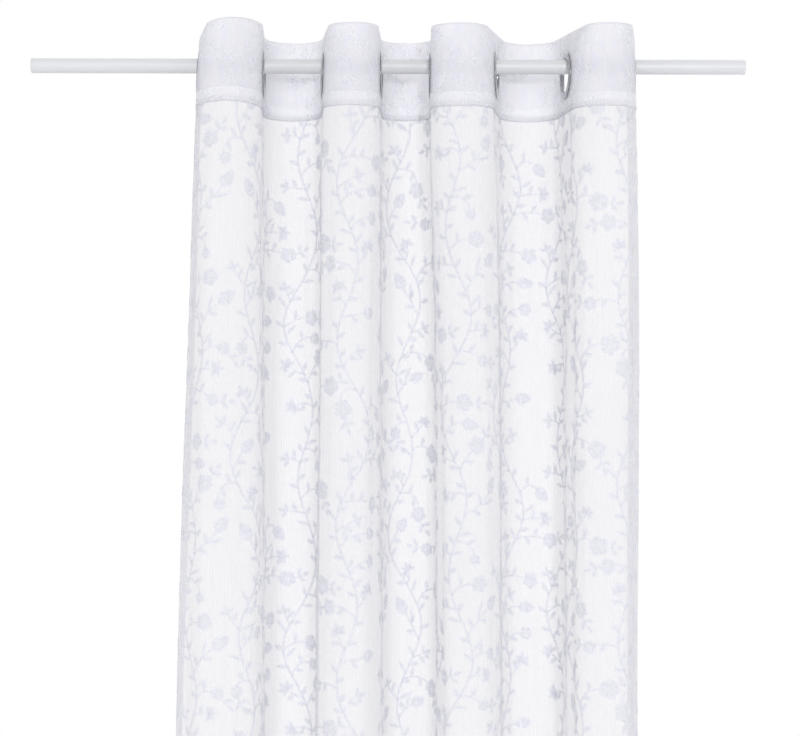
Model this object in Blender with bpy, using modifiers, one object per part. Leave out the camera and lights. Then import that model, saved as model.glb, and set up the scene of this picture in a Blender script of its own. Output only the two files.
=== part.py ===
"""Eyelet net curtain hung on a plain round rod.

Metres, +Z up. The origin is the middle of the rod's axis, +X runs along the rod and the
curtain is seen from -Y. Tables give millimetres and degrees. The cloth runs from its left
side hem, through eight eyelets, to its right side hem: behind the rod, through an eyelet
to the front, through the next one to the back, and so on. Seen from above, each fold is a
straight wall at one eyelet, a round bend, and a straight wall at the next.
"""

import math
from collections import namedtuple

import bmesh
import bpy
import numpy as np
from mathutils import Matrix, Vector

MM = 0.001
FIT_GAP = 0.3 * MM

ROD_RADIUS = 9.0 * MM
ROD_LENGTH = 863.0 * MM
ROD_SIDES = 48
ROD_CHAMFER = 0.8 * MM

DROP = 2450.0 * MM
HEADING_HEIGHT = 97.0 * MM
HEADING_TOP = 40.0 * MM
HEADING_THICKNESS = 2.0 * MM
CLOTH_THICKNESS = 1.2 * MM
HEM_THICKNESS = 2.0 * MM
SIDE_HEM = 20.0 * MM
BOTTOM_HEM = 60.0 * MM
HEM_STEP = 2.0 * MM

EYELET_HOLE_RADIUS = 20.0 * MM
EYELET_RIM_RADIUS = 28.5 * MM
EYELET_BARREL_WALL = 1.2 * MM
EYELET_HALF_DEPTH = 2.8 * MM
EYELET_EDGE = 0.6 * MM
EYELET_STEPS = 24
CLOTH_HOLE_SIDES = 32

# Heights: the top edge, just above the eyelets, the stitch line under the heading, where
# the stiff heading's hold on the folds ends, well down the drop, and the bottom edge.
TOP = HEADING_TOP
RIM = HEADING_TOP - 20.5 * MM
STITCH = HEADING_TOP - HEADING_HEIGHT
SETTLE = -270.0 * MM
LOW = -790.0 * MM
BOTTOM = HEADING_TOP - DROP
LEVELS = (BOTTOM, LOW, SETTLE, STITCH, RIM, TOP)

# Where the cloth crosses the rod's plane at each height, from left to right, and how far
# its wall leans towards +X there as the cloth runs on. From rim to stitch the wall is flat.
Crossing = namedtuple("Crossing", "top rim stitch settle low bottom "
                                  "lean_top lean_eyelet lean_low lean_bottom")
CROSSINGS = (
    Crossing(-221.0, -227.0, -231.0, -237.0, -253.5, -264.0, 8.0, 5.0, 4.0, 10.0),
    Crossing(-151.3, -151.5, -151.9, -151.5, -149.5, -158.0, -3.0, -2.0, -2.0, 12.0),
    Crossing(-75.6, -77.5, -79.9, -81.0, -83.0, -88.0, 7.0, 4.0, 3.0, 9.0),
    Crossing(-10.9, -10.0, -9.1, -8.5, -6.5, -8.0, 1.5, 1.5, 4.0, 11.0),
    Crossing(52.6, 52.0, 51.4, 57.0, 61.0, 64.0, -1.0, -1.0, 1.5, 8.0),
    Crossing(128.9, 129.5, 130.7, 135.0, 138.5, 144.0, 15.0, 8.0, 4.5, 12.0),
    Crossing(219.0, 216.0, 214.8, 216.0, 217.0, 226.0, 15.0, 7.5, 1.0, 10.0),
    Crossing(292.2, 294.6, 296.9, 301.5, 301.5, 315.0, 4.0, 3.0, 1.0, 9.0),
)

# The folds between them, left to right: in front of the rod or behind it, the cloth in
# each, and how far its bend rides up.
FRONT = -1
BACK = 1
Fold = namedtuple("Fold", "side cloth lift")
FOLDS = (
    Fold(FRONT, 200.0, 3.5),
    Fold(BACK, 175.0, -0.5),
    Fold(FRONT, 175.0, 0.0),
    Fold(BACK, 172.0, 0.5),
    Fold(FRONT, 180.0, -0.5),
    Fold(BACK, 181.0, -0.5),
    Fold(FRONT, 182.0, 0.0),
)
END_CLOTH = 67.5 * MM
END_STRAIGHT = 34.0 * MM
END_BEND = -9.0

# Soft creases below the heading: their place along the cut width, half width, depth, which
# is to the front where it is negative, and the height that they start at.
Crease = namedtuple("Crease", "at half_width depth start")
CREASES = (
    Crease(124.0, 24.0, 4.0, -110.0),
    Crease(214.0, 22.0, -3.5, -240.0),
    Crease(344.0, 26.0, 4.5, -160.0),
    Crease(470.0, 22.0, -3.5, -420.0),
    Crease(572.0, 24.0, 4.0, -130.0),
    Crease(706.0, 26.0, -4.5, -200.0),
    Crease(830.0, 22.0, 3.5, -330.0),
    Crease(918.0, 24.0, 4.0, -120.0),
    Crease(1062.0, 28.0, -5.0, -180.0),
    Crease(1186.0, 20.0, 4.5, -100.0),
    Crease(1292.0, 22.0, 5.0, -140.0),
)
CREASE_FADE = 160.0 * MM

SIDE_HEM_COLUMNS = 3
WALL_STEPS = 2
BEND_STEPS = 8
END_STEPS = 2
PANEL_HEIGHTS = (-105, -160, -215, -270, -400, -530, -660, -790, -1100, -1450, -1800, -2120)


def new_material(name, color, roughness, metallic=0.0):
    material = bpy.data.materials.new(name)
    material.use_nodes = True
    shader = material.node_tree.nodes["Principled BSDF"]
    shader.inputs["Base Color"].default_value = (*color, 1.0)
    shader.inputs["Roughness"].default_value = roughness
    shader.inputs["Metallic"].default_value = metallic
    return material


def new_object(name, mesh, collection, material=None):
    item = bpy.data.objects.new(name, mesh)
    collection.objects.link(item)
    if material:
        mesh.materials.append(material)
    return item


def mesh_from(name, build):
    """A mesh of this name, made in bmesh by the function build."""
    mesh = bpy.data.meshes.new(name)
    work = bmesh.new()
    build(work)
    work.to_mesh(mesh)
    work.free()
    return mesh


def at_height(crossing, z):
    """Where this crossing lies along X at height z, and its lean there in radians."""
    across = np.interp(z, LEVELS, (crossing.bottom, crossing.low, crossing.settle,
                                   crossing.stitch, crossing.rim, crossing.top))
    lean = np.interp(z, LEVELS, (crossing.lean_bottom, crossing.lean_low, crossing.lean_low,
                                 crossing.lean_eyelet, crossing.lean_eyelet, crossing.lean_top))
    return across * MM, math.radians(lean)


def fold_sizes(width, lean_in, lean_out, cloth):
    """First wall, bend radius and second wall that use up the cloth and end level across."""
    turn = math.pi - lean_in - lean_out
    sums = np.array([
        [math.sin(lean_in), math.cos(lean_in) + math.cos(lean_out), math.sin(lean_out)],
        [math.cos(lean_in), math.sin(lean_out) - math.sin(lean_in), -math.cos(lean_out)],
        [1.0, turn, 1.0],
    ])
    return np.linalg.solve(sums, (width, 0.0, cloth))


def fold_plan(z, index):
    """Points (u, x, y, lift) of a fold at height z, from its first crossing up to the second."""
    fold = FOLDS[index]
    start, lean_in = at_height(CROSSINGS[index], z)
    end, lean_out = at_height(CROSSINGS[index + 1], z)
    wall_in, radius, wall_out = fold_sizes(end - start, lean_in, lean_out, fold.cloth * MM)
    first_u = END_CLOTH + sum(earlier.cloth for earlier in FOLDS[:index]) * MM
    turn = math.pi - lean_in - lean_out
    bend_x = start + wall_in * math.sin(lean_in) + radius * math.cos(lean_in)
    bend_out = wall_in * math.cos(lean_in) - radius * math.sin(lean_in)
    points = []
    for step in range(WALL_STEPS):
        along = wall_in * step / WALL_STEPS
        points.append((first_u + along, start + along * math.sin(lean_in),
                       along * math.cos(lean_in), 0.0))
    for step in range(BEND_STEPS + 1):
        angle = turn * step / BEND_STEPS
        spoke = lean_in + angle
        lift = fold.lift * MM * math.sin(math.pi * step / BEND_STEPS) ** 2
        points.append((first_u + wall_in + radius * angle, bend_x - radius * math.cos(spoke),
                       bend_out + radius * math.sin(spoke), lift))
    for step in range(1, WALL_STEPS):
        left = wall_out * (1.0 - step / WALL_STEPS)
        points.append((first_u + fold.cloth * MM - left, end - left * math.sin(lean_out),
                       left * math.cos(lean_out), 0.0))
    return [(u, x, fold.side * out, lift) for u, x, out, lift in points]


def end_plan(z, crossing, way):
    """Points (u past the crossing, x, y) of the cloth behind the rod, out to its side hem."""
    across, lean = at_height(crossing, z)
    bent = END_CLOTH - END_STRAIGHT
    radius = bent / math.radians(END_BEND)
    reaches = [END_STRAIGHT * step / END_STEPS for step in range(1, END_STEPS + 1)]
    reaches += [END_CLOTH - SIDE_HEM - HEM_STEP, END_CLOTH - SIDE_HEM,
                END_CLOTH - 0.5 * SIDE_HEM, END_CLOTH]
    points = []
    for reach in reaches:
        straight = min(reach, END_STRAIGHT)
        angle = (reach - straight) / radius
        out = straight * math.sin(lean) + radius * (math.cos(lean) - math.cos(lean + angle))
        back = straight * math.cos(lean) + radius * (math.sin(lean + angle) - math.sin(lean))
        points.append((reach, across + way * out, back))
    return points


def creased(plan, z):
    """Points (x, y, z) of the plan, moved along the cloth's normal by the creases there."""
    u, x, y, lift = plan.T
    along = np.stack((np.gradient(x), np.gradient(y)))
    along /= np.linalg.norm(along, axis=0)
    shift = np.zeros(len(u))
    for crease in CREASES:
        off = np.clip(np.abs(u - crease.at * MM) / (crease.half_width * MM), 0.0, 1.0)
        grown = np.clip((crease.start * MM - z) / CREASE_FADE, 0.0, 1.0)
        shift += crease.depth * MM * grown * np.cos(0.5 * math.pi * off) ** 2
    return np.stack((x - along[1] * shift, y + along[0] * shift, z + lift), axis=1)


def cloth_plan(z):
    """Points (x, y, z) across the whole cloth at height z, from left to right."""
    left = [(END_CLOTH - past, x, y, 0.0) for past, x, y in end_plan(z, CROSSINGS[0], -1)]
    points = left[::-1]
    for index in range(len(FOLDS)):
        points += fold_plan(z, index)
    last_u = END_CLOTH + sum(fold.cloth for fold in FOLDS) * MM
    across, _ = at_height(CROSSINGS[-1], z)
    points.append((last_u, across, 0.0, 0.0))
    points += [(last_u + past, x, y, 0.0) for past, x, y in end_plan(z, CROSSINGS[-1], 1)]
    return creased(np.array(points), z)


def cloth_mesh(name, heights):
    """A grid laid on the folds, one row for each height from the bottom up."""
    plans = [cloth_plan(z) for z in heights]
    across_cells = len(plans[0]) - 1
    up_cells = len(heights) - 1

    def build(work):
        bmesh.ops.create_grid(work, x_segments=across_cells, y_segments=up_cells, size=1.0)
        for point in work.verts:
            column = round((point.co.x + 1.0) / 2.0 * across_cells)
            row = round((point.co.y + 1.0) / 2.0 * up_cells)
            point.co = plans[row][column]

    return mesh_from(name, build)


def eyelet_place(crossing):
    """The eyelet's matrix: local Z is its axis, square to the wall of cloth that holds it."""
    slope = (crossing.rim - crossing.stitch) * MM / (RIM - STITCH)
    tilt = math.atan(abs(slope))
    flat_radius = EYELET_HOLE_RADIUS * math.cos(math.pi / EYELET_STEPS)
    drop = ROD_RADIUS + FIT_GAP - flat_radius * math.cos(tilt) + EYELET_HALF_DEPTH * math.sin(tilt)
    across, lean = at_height(crossing, drop)
    side = FRONT if CROSSINGS.index(crossing) % 2 == 0 else BACK
    along = Vector((math.sin(lean), side * math.cos(lean), 0.0))
    rising = Vector((slope, 0.0, 1.0)).normalized()
    axis = along.cross(rising).normalized()
    upright = axis.cross(along)
    turn = Matrix((along, upright, axis)).transposed().to_4x4()
    return Matrix.Translation((across, 0.0, drop)) @ turn


def build_rod(collection, material):
    mesh = mesh_from("rod", lambda work: bmesh.ops.create_cone(
        work, cap_ends=True, segments=ROD_SIDES, radius1=ROD_RADIUS, radius2=ROD_RADIUS,
        depth=ROD_LENGTH, matrix=Matrix.Rotation(math.pi / 2, 4, "Y")))
    rod = new_object("rod", mesh, collection, material)
    bevel = rod.modifiers.new("end_chamfer", "BEVEL")
    bevel.width = ROD_CHAMFER
    bevel.segments = 1
    bevel.limit_method = "ANGLE"
    bevel.angle_limit = math.radians(60)
    mesh.shade_smooth()
    mesh.set_sharp_from_angle(angle=math.radians(30))


def build_heading(collection, cutters, material):
    heading = new_object("heading", cloth_mesh("heading", (STITCH, RIM, TOP)), collection, material)
    thick = heading.modifiers.new("thickness", "SOLIDIFY")
    thick.thickness = HEADING_THICKNESS
    thick.offset = 0.0
    thick.use_even_offset = True
    hole_radius = EYELET_HOLE_RADIUS + EYELET_BARREL_WALL + FIT_GAP
    hole_radius /= math.cos(math.pi / CLOTH_HOLE_SIDES)
    hole = mesh_from("eyelet_hole", lambda work: bmesh.ops.create_cone(
        work, cap_ends=True, segments=CLOTH_HOLE_SIDES, radius1=hole_radius,
        radius2=hole_radius, depth=EYELET_RIM_RADIUS))
    for number, crossing in enumerate(CROSSINGS, 1):
        cutter = new_object(f"hole_{number}", hole, cutters)
        cutter.matrix_world = eyelet_place(crossing)
        cutter.hide_render = True
        cutter.display_type = "WIRE"
        cut = heading.modifiers.new(f"hole_{number}", "BOOLEAN")
        cut.operation = "DIFFERENCE"
        cut.object = cutter


def build_panel(collection, material):
    top = STITCH - FIT_GAP
    hem_line = BOTTOM + BOTTOM_HEM
    heights = [BOTTOM, BOTTOM + 0.5 * BOTTOM_HEM, hem_line, hem_line + HEM_STEP]
    heights += [height * MM for height in reversed(PANEL_HEIGHTS)] + [top]
    panel = new_object("panel", cloth_mesh("panel", heights), collection, material)
    hem = panel.vertex_groups.new(name="hem")
    columns = len(cloth_plan(top))
    for point in panel.data.vertices:
        row, column = divmod(point.index, columns)
        from_side = min(column, columns - 1 - column)
        if from_side < SIDE_HEM_COLUMNS or heights[row] <= hem_line:
            hem.add([point.index], 1.0, "REPLACE")
    thick = panel.modifiers.new("thickness", "SOLIDIFY")
    thick.thickness = HEM_THICKNESS
    thick.thickness_vertex_group = CLOTH_THICKNESS / HEM_THICKNESS
    thick.vertex_group = hem.name
    thick.offset = 0.0
    thick.use_even_offset = True


def eyelet_profile():
    """Half section (radius, height) of an eyelet: two domed flanges on a short barrel."""
    slot = 0.5 * HEADING_THICKNESS + FIT_GAP
    crown = EYELET_HALF_DEPTH
    flange = EYELET_RIM_RADIUS - EYELET_HOLE_RADIUS
    upper = [
        (EYELET_HOLE_RADIUS, crown - 1.5 * EYELET_EDGE),
        (EYELET_HOLE_RADIUS + 0.25 * flange, crown),
        (EYELET_RIM_RADIUS - 0.25 * flange, crown - 0.5 * EYELET_EDGE),
        (EYELET_RIM_RADIUS, slot + EYELET_EDGE),
        (EYELET_RIM_RADIUS, slot),
        (EYELET_HOLE_RADIUS + EYELET_BARREL_WALL, slot),
    ]
    return upper + [(radius, -height) for radius, height in reversed(upper)]


def build_eyelets(collection, material):
    def build(work):
        points = [work.verts.new((radius, 0.0, height)) for radius, height in eyelet_profile()]
        for index, point in enumerate(points):
            work.edges.new((point, points[(index + 1) % len(points)]))

    mesh = mesh_from("eyelet", build)
    mesh.materials.append(material)
    for number, crossing in enumerate(CROSSINGS, 1):
        eyelet = new_object(f"eyelet_{number}", mesh, collection)
        eyelet.matrix_world = eyelet_place(crossing)
        turned = eyelet.modifiers.new("turned", "SCREW")
        turned.steps = EYELET_STEPS
        turned.render_steps = EYELET_STEPS
        turned.use_merge_vertices = True
        turned.merge_threshold = 0.0001
        turned.use_smooth_shade = True


def main():
    for item in list(bpy.data.objects):
        bpy.data.objects.remove(item)
    collection = bpy.data.collections.new("net_curtain")
    cutters = bpy.data.collections.new("cutters")
    bpy.context.scene.collection.children.link(collection)
    bpy.context.scene.collection.children.link(cutters)
    build_rod(collection, new_material("painted_metal", (0.86, 0.87, 0.88), 0.35))
    build_heading(collection, cutters, new_material("heading_cloth", (0.90, 0.90, 0.94), 0.85))
    build_panel(collection, new_material("voile", (0.92, 0.92, 0.96), 0.8))
    build_eyelets(collection, new_material("eyelet_metal", (0.62, 0.62, 0.63), 0.3, 1.0))
    bpy.context.view_layer.update()


main()
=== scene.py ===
import math

import bpy
import numpy as np
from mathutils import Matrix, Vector


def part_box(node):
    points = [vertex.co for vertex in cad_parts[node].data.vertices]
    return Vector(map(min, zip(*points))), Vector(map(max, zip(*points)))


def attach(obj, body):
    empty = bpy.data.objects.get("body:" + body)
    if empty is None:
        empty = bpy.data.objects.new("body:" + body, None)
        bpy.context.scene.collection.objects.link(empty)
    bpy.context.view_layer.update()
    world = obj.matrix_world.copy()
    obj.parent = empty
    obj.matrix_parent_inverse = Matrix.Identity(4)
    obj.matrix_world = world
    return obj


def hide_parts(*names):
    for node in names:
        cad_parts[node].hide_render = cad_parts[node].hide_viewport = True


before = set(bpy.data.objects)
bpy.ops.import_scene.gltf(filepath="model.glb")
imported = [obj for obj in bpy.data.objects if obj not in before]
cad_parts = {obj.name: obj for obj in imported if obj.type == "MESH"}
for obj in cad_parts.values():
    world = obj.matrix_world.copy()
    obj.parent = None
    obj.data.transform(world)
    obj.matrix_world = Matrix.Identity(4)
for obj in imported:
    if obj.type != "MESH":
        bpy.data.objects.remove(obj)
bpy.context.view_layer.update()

mm = 0.001
tiny = 0.001 * mm

# Net curtain on a rod, in metres, seen from -Y. The cloth is worked out once, as a function of
# its place u along the cut width and its height z, and everything on it is laid on that function.

# The cloth's hang, as in the part's source. Each row is where the cloth passes the rod at the
# bottom, low, settle, stitch line, rim and top levels (mm) and how its wall leans there (degrees).
hang = {
    "levels": (-2410.0, -790.0, -270.0, -57.0, 19.5, 40.0),
    "across": (
        (-264.0, -253.5, -237.0, -231.0, -227.0, -221.0),
        (-158.0, -149.5, -151.5, -151.9, -151.5, -151.3),
        (-88.0, -83.0, -81.0, -79.9, -77.5, -75.6),
        (-8.0, -6.5, -8.5, -9.1, -10.0, -10.9),
        (64.0, 61.0, 57.0, 51.4, 52.0, 52.6),
        (144.0, 138.5, 135.0, 130.7, 129.5, 128.9),
        (226.0, 217.0, 216.0, 214.8, 216.0, 219.0),
        (315.0, 301.5, 301.5, 296.9, 294.6, 292.2),
    ),
    "lean": (
        (10.0, 4.0, 4.0, 5.0, 5.0, 8.0),
        (12.0, -2.0, -2.0, -2.0, -2.0, -3.0),
        (9.0, 3.0, 3.0, 4.0, 4.0, 7.0),
        (11.0, 4.0, 4.0, 1.5, 1.5, 1.5),
        (8.0, 1.5, 1.5, -1.0, -1.0, -1.0),
        (12.0, 4.5, 4.5, 8.0, 8.0, 15.0),
        (10.0, 1.0, 1.0, 7.5, 7.5, 15.0),
        (9.0, 1.0, 1.0, 3.0, 3.0, 4.0),
    ),
    # folds from left to right: cloth in each (mm) and how far its bend rides up (mm)
    "cloth": (200.0, 175.0, 175.0, 172.0, 180.0, 181.0, 182.0),
    "lift": (3.5, -0.5, 0.0, 0.5, -0.5, -0.5, 0.0),
    # the cloth behind the rod, from the end eyelets out to the side hems (mm, degrees)
    "endCloth": 67.5,
    "endStraight": 34.0,
    "endBend": -9.0,
}
levels = np.array(hang["levels"]) * mm
across = np.array(hang["across"]) * mm
lean = np.radians(hang["lean"])
foldCloth = np.array(hang["cloth"]) * mm
endCloth, endStraight = hang["endCloth"] * mm, hang["endStraight"] * mm
endRadius = (endCloth - endStraight) / math.radians(hang["endBend"])
eyeletAt = endCloth + np.concatenate(([0.0], np.cumsum(foldCloth)))
cutWidth = eyeletAt[-1] + endCloth
stitchLevel, rimLevel = 3, 4
bottom, stitchLine, rim, top = levels[0], levels[stitchLevel], levels[rimLevel], levels[-1]

# Soft creases: at along the width, half width, depth (to the back where it is
# positive), the height it starts at and, past the long ones, the height it has died away by (mm).
creases = (
    (124, 24, 4.0, -110, None), (214, 22, -3.5, -240, None), (344, 26, 4.5, -160, None),
    (470, 22, -3.5, -420, None), (572, 24, 4.0, -130, None), (706, 26, -4.5, -200, None),
    (830, 22, 3.5, -330, None), (918, 24, 4.0, -120, None), (1062, 28, -5.0, -180, None),
    (1186, 20, 4.5, -100, None), (1292, 22, 5.0, -140, None),
    (18, 11, -1.4, -70, None), (52, 10, 1.2, -90, None), (96, 9, -1.0, -62, -620),
    (151, 10, -1.3, -64, -900), (181, 8, 0.9, -75, None), (240, 9, 1.0, -62, -480),
    (300, 10, -1.2, -66, None), (322, 7, 0.8, -64, -380), (378, 10, -1.1, -90, None),
    (404, 8, 0.9, -60, -300), (430, 9, -0.9, -150, None), (502, 10, 1.2, -62, -760),
    (528, 9, -1.1, -60, None), (551, 8, 0.8, -64, -420), (600, 9, -1.0, -80, None),
    (640, 10, 1.0, -62, None), (676, 8, -0.8, -60, -520), (735, 9, 1.2, -64, None),
    (764, 8, -0.9, -62, -440), (800, 9, -1.0, -70, None), (856, 8, 1.0, -60, -560),
    (884, 8, -1.0, -62, None), (948, 9, -1.2, -70, None), (990, 9, 1.0, -64, -640),
    (1024, 9, 1.1, -60, -430), (1096, 9, 1.0, -66, None), (1128, 8, -0.9, -60, -520),
    (1160, 9, -1.2, -80, None), (1214, 9, -1.0, -60, None), (1240, 8, 0.9, -70, -610),
    (1262, 8, -0.9, -62, None), (1322, 9, -1.1, -60, -700), (1352, 10, 1.2, -66, None),
    (1384, 9, -1.4, -80, None),
)
creaseFade = 160 * mm

# Fine ripples of limp voile: wave length along the width, height, wander and its wave length (mm).
ripples = (
    (21.0, 0.26, 5.0, 900.0), (13.5, 0.12, 4.0, 520.0), (34.0, 0.40, 8.0, 1300.0),
)
rippleLook = {
    "grow": 130 * mm,       # the way down in which they come in below the heading
    "strength": 0.65,       # their mean, which patches take up to 1
    "patch": (23.0, 5.0, 2.0),      # radians a metre across, a metre down and from ripple to ripple
    "shift": 17.0,          # of the wander, in radians a metre across
    "phase": 1.7,           # radians from one ripple to the next
}


def curveThrough(values, z):
    # a cubic through the values at the levels with the mean slope at each, but one straight
    # line from the stitch line to the rim, where the stiff heading holds the cloth flat
    steps = np.diff(values) / np.diff(levels)
    slopes = np.concatenate(([steps[0]], 0.5 * (steps[:-1] + steps[1:]), [steps[-1]]))
    slopes[stitchLevel] = slopes[rimLevel] = steps[stitchLevel]
    k = np.clip(np.searchsorted(levels, z) - 1, 0, len(steps) - 1)
    span = (levels[1:] - levels[:-1])[k]
    t = np.clip((z - levels[k]) / span, 0.0, 1.0)
    fromStart, toEnd = t * t * (3 - 2 * t), t * (1 - t)
    return (values[k] + fromStart * (values[k + 1] - values[k])
            + span * toEnd * ((1 - t) * slopes[k] - t * slopes[k + 1]))


def foldSizes(width, leanIn, leanOut, cloth):
    # first wall, bend radius and second wall that use up the cloth, span the width and end level
    turn = math.pi - leanIn - leanOut
    sums = np.empty((len(width), 3, 3))
    sums[:, 0] = np.stack((np.sin(leanIn), np.cos(leanIn) + np.cos(leanOut), np.sin(leanOut)), 1)
    sums[:, 1] = np.stack((np.cos(leanIn), np.sin(leanOut) - np.sin(leanIn), -np.cos(leanOut)), 1)
    sums[:, 2] = np.stack((np.ones_like(turn), turn, np.ones_like(turn)), 1)
    wanted = np.stack((width, np.zeros_like(width), np.full_like(width, cloth)), 1)
    return np.linalg.solve(sums, wanted[:, :, None])[:, :, 0].T


def foldPlan(u, z):
    # seen from above: a straight wall at one eyelet, a round bend in front of the rod or behind
    # it by turns, and a straight wall at the next; returns x, y, lift and the way it runs
    x, y, lift, runX, runY = np.zeros((5, len(u)))
    for k, cloth in enumerate(foldCloth):
        side = -1.0 if k % 2 == 0 else 1.0
        here = (u >= eyeletAt[k]) & (u <= eyeletAt[k + 1])
        s, zHere = u[here] - eyeletAt[k], z[here]
        start, end = curveThrough(across[k], zHere), curveThrough(across[k + 1], zHere)
        a, b = curveThrough(lean[k], zHere), curveThrough(lean[k + 1], zHere)
        wallIn, radius, wallOut = foldSizes(end - start, a, b, cloth)
        turned = np.clip((s - wallIn) / radius, 0.0, math.pi - a - b)
        inner, left = np.minimum(s, wallIn), np.clip(cloth - s, 0.0, wallOut)
        done = turned >= math.pi - a - b
        bendX = start + inner * np.sin(a) + radius * (np.cos(a) - np.cos(a + turned))
        bendY = inner * np.cos(a) + radius * (np.sin(a + turned) - np.sin(a))
        x[here] = np.where(done, end - left * np.sin(b), bendX)
        y[here] = side * np.where(done, left * np.cos(b), bendY)
        lift[here] = hang["lift"][k] * mm * np.sin(math.pi * turned / (math.pi - a - b)) ** 2
        runX[here], runY[here] = np.sin(a + turned), side * np.cos(a + turned)
    for k, way in ((0, -1.0), (len(across) - 1, 1.0)):
        here = u < eyeletAt[0] if way < 0 else u > eyeletAt[-1]
        reach, zHere = np.abs(u[here] - eyeletAt[k]), z[here]
        start, a = curveThrough(across[k], zHere), curveThrough(lean[k], zHere)
        straight = np.minimum(reach, endStraight)
        angle = (reach - straight) / endRadius
        x[here] = start + way * (straight * np.sin(a) + endRadius * (np.cos(a) - np.cos(a + angle)))
        y[here] = straight * np.cos(a) + endRadius * (np.sin(a + angle) - np.sin(a))
        runX[here], runY[here] = np.sin(a + angle), way * np.cos(a + angle)
    return x, y, lift, runX, runY


def pushed(u, z):
    # how far creases and ripples push the cloth along its normal: each crease is a cosine trough
    # that grows below its start, and each ripple is a sine along the width that wanders with z
    push = np.zeros_like(u)
    for at, halfWidth, depth, start, end in creases:
        off = np.clip(np.abs(u - at * mm) / (halfWidth * mm), 0.0, 1.0)
        grown = np.clip((start * mm - z) / creaseFade, 0.0, 1.0)
        if end is not None:
            grown *= np.clip((z - end * mm) / creaseFade, 0.0, 1.0)
        push += depth * mm * grown * np.cos(0.5 * math.pi * off) ** 2
    look = rippleLook
    patchU, patchZ, patchStep = look["patch"]
    grown = np.clip((stitchLine - z) / look["grow"], 0.0, 1.0)
    for n, (length, height, wander, longLength) in enumerate(ripples):
        sway = wander * mm * np.sin(2 * math.pi * z / (longLength * mm) + look["shift"] * u + n)
        patches = np.sin(patchU * u + patchZ * z + patchStep * n)
        strength = look["strength"] + (1.0 - look["strength"]) * patches
        wave = np.sin(2 * math.pi * (u + sway) / (length * mm) + look["phase"] * n)
        push += height * mm * strength * wave * grown
    return push


def flatCloth(u, z):
    # the point of the hung cloth for its place u along the cut width and its height z
    u, z = np.asarray(u, float), np.asarray(z, float)
    x, y, lift, runX, runY = foldPlan(u, z)
    push = pushed(u, z)
    return np.stack((x - runY * push, y + runX * push, z + lift), 1)


def onCloth(u, z, out=0.0):
    # the same, moved out from the face side along the cloth's normal
    step = 0.4 * mm
    point = flatCloth(u, z)
    normal = np.cross(flatCloth(u + step, z) - point, flatCloth(u, z + step) - point)
    normal /= np.linalg.norm(normal, axis=1)[:, None]
    return point + normal * np.reshape(out, (-1, 1))


def gridFaces(rows, columns, closed=False):
    # two triangles for each cell of a grid of points, which may close round in its columns
    here = np.arange(columns if closed else columns - 1)
    following = (here + 1) % columns
    base = (np.arange(rows - 1) * columns)[:, None]
    a, b, c, d = base + here, base + following, base + columns + following, base + columns + here
    return np.concatenate([np.stack(three, -1).reshape(-1, 3) for three in ((a, b, c), (a, c, d))])


def fanFaces(centre, ring):
    # triangles from a centre point to a closed ring of points, turning the way the ring runs
    return np.stack((np.full_like(ring, centre), ring, np.roll(ring, -1)), 1)


def meshPiece(name, points, faces, material, uv=None, shares=None):
    # puts whole arrays of points, faces, cloth places and a share for each point in one mesh
    mesh = bpy.data.meshes.new(name)
    mesh.vertices.add(len(points))
    mesh.vertices.foreach_set("co", points.astype(np.float32).ravel())
    mesh.loops.add(faces.size)
    mesh.loops.foreach_set("vertex_index", faces.astype(np.int32).ravel())
    mesh.polygons.add(len(faces))
    mesh.polygons.foreach_set("loop_start", np.arange(0, faces.size, 3, dtype=np.int32))
    mesh.update(calc_edges=True)
    mesh.shade_smooth()
    if uv is not None:
        layer = mesh.uv_layers.new(name="clothPlace")
        layer.uv.foreach_set("vector", uv[faces.ravel()].astype(np.float32).ravel())
    if shares is not None:
        layer = mesh.attributes.new("weaveShare", "FLOAT", "POINT")
        layer.data.foreach_set("value", shares.astype(np.float32))
    mesh.validate()
    mesh.materials.append(material)
    piece = bpy.data.objects.new(name, mesh)
    bpy.context.scene.collection.objects.link(piece)
    return piece


# Materials. In the looks below a noise is its scale across and down the cloth (a metre), its
# seed and, where it isn't 2, its detail. A bump is its strength and its distance. Where a pair
# of numbers makes a share or a roughness, it is so much of the noise, plus so much.

def newMaterial(name):
    material = bpy.data.materials.new(name)
    material.use_nodes = True
    material.node_tree.nodes.clear()
    return material, material.node_tree


def put(tree, kind, values=None, **settings):
    # a node with its sockets set or linked by name, and its other settings by keyword
    node = tree.nodes.new(kind)
    for key, value in settings.items():
        setattr(node, key, value)
    for key, value in (values or {}).items():
        if isinstance(value, bpy.types.NodeSocket):
            tree.links.new(value, node.inputs[key])
        else:
            node.inputs[key].default_value = value
    return node


def maths(tree, operation, *values):
    return put(tree, "ShaderNodeMath", dict(enumerate(values)), operation=operation).outputs[0]


def timesPlus(tree, value, factor, added):
    return maths(tree, "MULTIPLY_ADD", value, factor, added)


def mixed(tree, share, first, second):
    # the first colour, and the second as the share grows to 1
    return put(tree, "ShaderNodeMix", {0: share, 6: first, 7: second},
               data_type="RGBA").outputs[2]


def noise(tree, place, scale, detail):
    return put(tree, "ShaderNodeTexNoise", {"Vector": place, "Scale": scale,
                                            "Detail": detail}).outputs["Fac"]


def bumped(tree, height, strength, distance):
    return put(tree, "ShaderNodeBump", {"Strength": strength, "Distance": distance,
                                        "Height": height}).outputs[0]


def objectPlace(tree):
    return put(tree, "ShaderNodeTexCoord").outputs["Object"]


def clothPlace(tree):
    # u along the cut width and z down the drop, in metres, from the piece's own map
    place = put(tree, "ShaderNodeUVMap", uv_map="clothPlace").outputs["UV"]
    split = put(tree, "ShaderNodeSeparateXYZ", {"Vector": place})
    return split.outputs["X"], split.outputs["Y"]


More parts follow.
